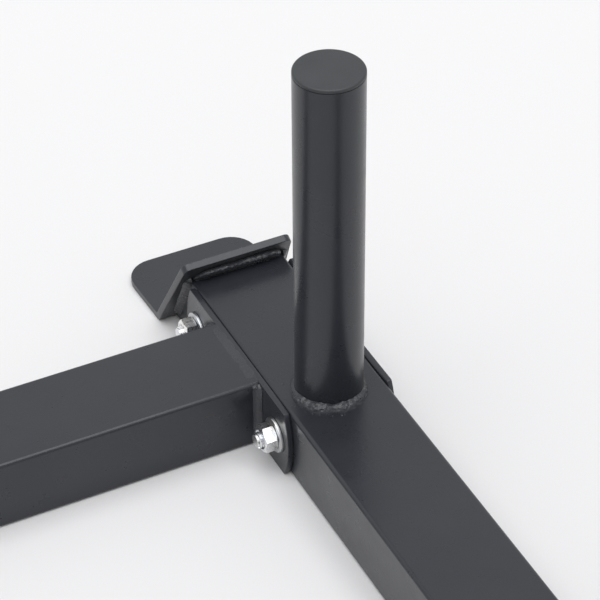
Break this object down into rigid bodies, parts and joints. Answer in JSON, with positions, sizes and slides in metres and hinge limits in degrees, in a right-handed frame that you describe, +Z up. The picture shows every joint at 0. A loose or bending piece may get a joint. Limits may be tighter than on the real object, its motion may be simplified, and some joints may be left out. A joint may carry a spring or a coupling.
{
  "type": "squat rack",
  "caption": "Free-standing squat rack with bolted crossmembers, round plate storage posts, bar cups and tilting safety arms on pull pins.",
  "frame": {"origin": "on the floor, at the middle of the base's footprint", "axes": "+X to the right as seen from the front, +Y from the front to the rear, +Z up"},
  "size_m": [1.2732, 1.4, 1.85],
  "materials": {
    "powder_coat": "satin black powder coat over welded steel",
    "zinc": "bright zinc plate",
    "black_plastic": "moulded, lightly grained",
    "liner": "machined slab of dense polyethylene"
  },
  "bodies": {
    "frame": {"left_foot_tube": "powder_coat", "right_foot_tube": "powder_coat", "left_rear_foot_plate": "powder_coat", "right_rear_foot_plate": "powder_coat", "left_front_foot_plate": "powder_coat", "right_front_foot_plate": "powder_coat", "left_storage_post": "powder_coat", "right_storage_post": "powder_coat", "left_post_cap": "black_plastic", "right_post_cap": "black_plastic", "base_crossmember": "powder_coat", "base_left_flange": "powder_coat", "base_right_flange": "powder_coat", "base_left_backing_plate": "powder_coat", "base_right_backing_plate": "powder_coat", "top_crossmember": "powder_coat", "top_left_flange": "powder_coat", "top_right_flange": "powder_coat", "top_left_backing_plate": "powder_coat", "top_right_backing_plate": "powder_coat", "left_upright": "powder_coat", "right_upright": "powder_coat", "left_upright_cap": "black_plastic", "right_upright_cap": "black_plastic", "left_inner_gusset": "powder_coat", "left_outer_gusset": "powder_coat", "right_inner_gusset": "powder_coat", "right_outer_gusset": "powder_coat", "base_bolts": "zinc", "base_nuts": "zinc", "base_washers": "zinc", "top_bolts": "zinc", "top_nuts": "zinc", "top_washers": "zinc", "gusset_bolts": "zinc", "gusset_nuts": "zinc", "gusset_washers": "zinc"},
    "left_cup": {"left_cup_bracket": "powder_coat", "left_cup_hook_plates": "powder_coat", "left_cup_liner": "liner", "left_cup_screws": "zinc"},
    "left_arm": {"left_arm_bracket": "powder_coat", "left_arm_tube": "powder_coat", "left_arm_end_plate": "powder_coat", "left_arm_liner": "liner", "left_arm_screws": "zinc"},
    "left_pin": {"left_pull_pin": "zinc", "left_pin_knob": "black_plastic"},
    "right_cup": {"right_cup_bracket": "powder_coat", "right_cup_hook_plates": "powder_coat", "right_cup_liner": "liner", "right_cup_screws": "zinc"},
    "right_arm": {"right_arm_bracket": "powder_coat", "right_arm_tube": "powder_coat", "right_arm_end_plate": "powder_coat", "right_arm_liner": "liner", "right_arm_screws": "zinc"},
    "right_pin": {"right_pull_pin": "zinc", "right_pin_knob": "black_plastic"}
  },
  "joints": [
    {"name": "left_cup_pull", "type": "slide", "parent": "frame", "child": "left_cup", "axis": [0, -1, 0], "range_m": [0, 0.08]},
    {"name": "right_cup_pull", "type": "slide", "parent": "frame", "child": "right_cup", "axis": [0, -1, 0], "range_m": [0, 0.08]},
    {"name": "left_arm_tilt", "type": "hinge", "parent": "frame", "child": "left_arm", "pos_m": [-0.56, -0.134, 0.8], "axis": [-1, 0, 0], "range_deg": [0, 80]},
    {"name": "right_arm_tilt", "type": "hinge", "parent": "frame", "child": "right_arm", "pos_m": [0.56, -0.134, 0.8], "axis": [-1, 0, 0], "range_deg": [0, 80]},
    {"name": "left_pin_draw", "type": "slide", "parent": "frame", "child": "left_pin", "axis": [-1, 0, 0], "range_m": [0, 0.12]},
    {"name": "right_pin_draw", "type": "slide", "parent": "frame", "child": "right_pin", "axis": [1, 0, 0], "range_m": [0, 0.12]}
  ]
}
